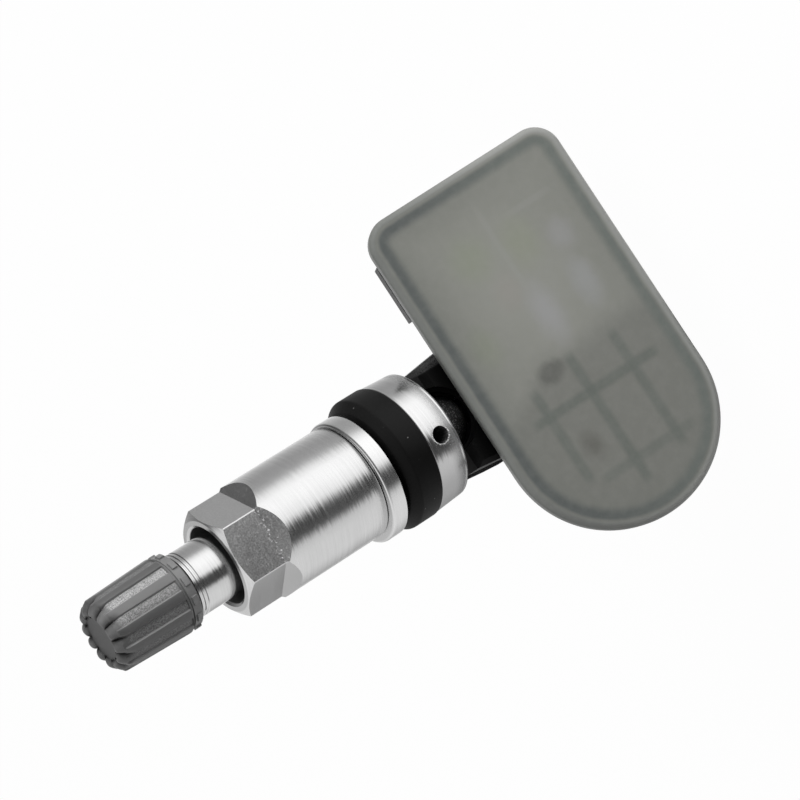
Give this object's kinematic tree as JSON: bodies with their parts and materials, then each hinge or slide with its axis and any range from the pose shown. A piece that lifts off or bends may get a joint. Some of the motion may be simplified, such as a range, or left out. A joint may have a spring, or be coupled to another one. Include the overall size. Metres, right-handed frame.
{
  "type": "tyre pressure sensor",
  "caption": "Wheel pressure sensor: D-shaped housing with a translucent cover, clamped by a ball joint to a metal valve stem with grommet, screw nut and ribbed cap.",
  "frame": {"origin": "on the valve stem's axis, in the plane of the grommet's front face, where the rim sits", "axes": "+Z along the valve stem towards its cap, -Y to the side that the sensor's cover faces, +X along the sensor towards its square end"},
  "size_m": [0.0468, 0.0256, 0.0765],
  "materials": {
    "cap_plastic": "matt dark grey moulded plastic with a fine grain",
    "seal_rubber": "matt black rubber",
    "turned_aluminium": "fine-turned aluminium",
    "nut_aluminium": "turned sleeve and milled flats",
    "washer_aluminium": "turned washer",
    "grommet_rubber": "satin black rubber",
    "brass": "machined brass",
    "steel": "zinc-plated steel",
    "white_seal": "white sealing plastic",
    "black_plastic": "black glass-filled moulding",
    "cover_plastic": "frosted translucent grey plastic",
    "board_green": "green solder mask",
    "cell_steel": "bright stainless steel",
    "tab_nickel": "nickel strip",
    "chip_black": "black moulded chip",
    "ferrite": "grey ferrite",
    "winding": "enamelled copper wire",
    "ceramic": "tan ceramic"
  },
  "bodies": {
    "valve": {"valve_stem": "turned_aluminium", "grommet": "grommet_rubber", "core_head": "brass", "core_barrel": "brass", "core_gasket": "white_seal", "retaining_screw": "steel", "clamp_washer": "steel"},
    "core_plunger": {"core_pin": "steel", "core_seal": "seal_rubber", "core_spring": "steel"},
    "cap_disc": {"cap_gasket": "seal_rubber"},
    "cap": {"valve_cap": "cap_plastic"},
    "washer": {"nut_washer": "washer_aluminium"},
    "nut": {"screw_nut": "nut_aluminium"},
    "sensor": {"housing": "black_plastic", "cover": "cover_plastic", "circuit_board": "board_green", "coin_cell": "cell_steel", "top_tab": "tab_nickel", "bottom_tab": "tab_nickel", "pressure_chip": "chip_black", "port_gasket": "seal_rubber", "port_filter": "white_seal", "radio_chip": "chip_black", "crystal": "cell_steel", "coil_core": "ferrite", "coil_winding": "winding", "antenna": "tab_nickel", "capacitors": "ceramic"}
  },
  "joints": [
    {"name": "core_press", "type": "slide", "parent": "valve", "child": "core_plunger", "axis": [0, 0, -1], "range_m": [0, 0.0015], "stiffness_N_per_m": 800, "springref_m": -0.002, "deforming": ["core_spring"]},
    {"name": "cap_lift", "type": "slide", "parent": "valve", "child": "cap_disc", "axis": [0, 0, 1], "range_m": [0, 0.0095]},
    {"name": "cap_turn", "type": "hinge", "parent": "cap_disc", "child": "cap", "pos_m": [0, 0, 0.0335], "axis": [0, 0, 1], "range_deg": [0, 4320]},
    {"name": "nut_lift", "type": "slide", "parent": "valve", "child": "washer", "axis": [0, 0, 1], "range_m": [-0.0005, 0.005]},
    {"name": "nut_turn", "type": "hinge", "parent": "washer", "child": "nut", "pos_m": [0, 0, 0.012], "axis": [0, 0, 1], "range_deg": [-180, 1800]},
    {"name": "sensor_swivel", "type": "hinge", "parent": "valve", "child": "sensor", "pos_m": [0, 0, -0.0106], "axis": [1, 0, 0], "range_deg": [-15, 15]}
  ],
  "couplings": [
    {"joint": "cap_turn", "follows": "cap_lift", "rad_per_m": 7913.3},
    {"joint": "nut_turn", "follows": "nut_lift", "rad_per_m": 6283.2}
  ]
}
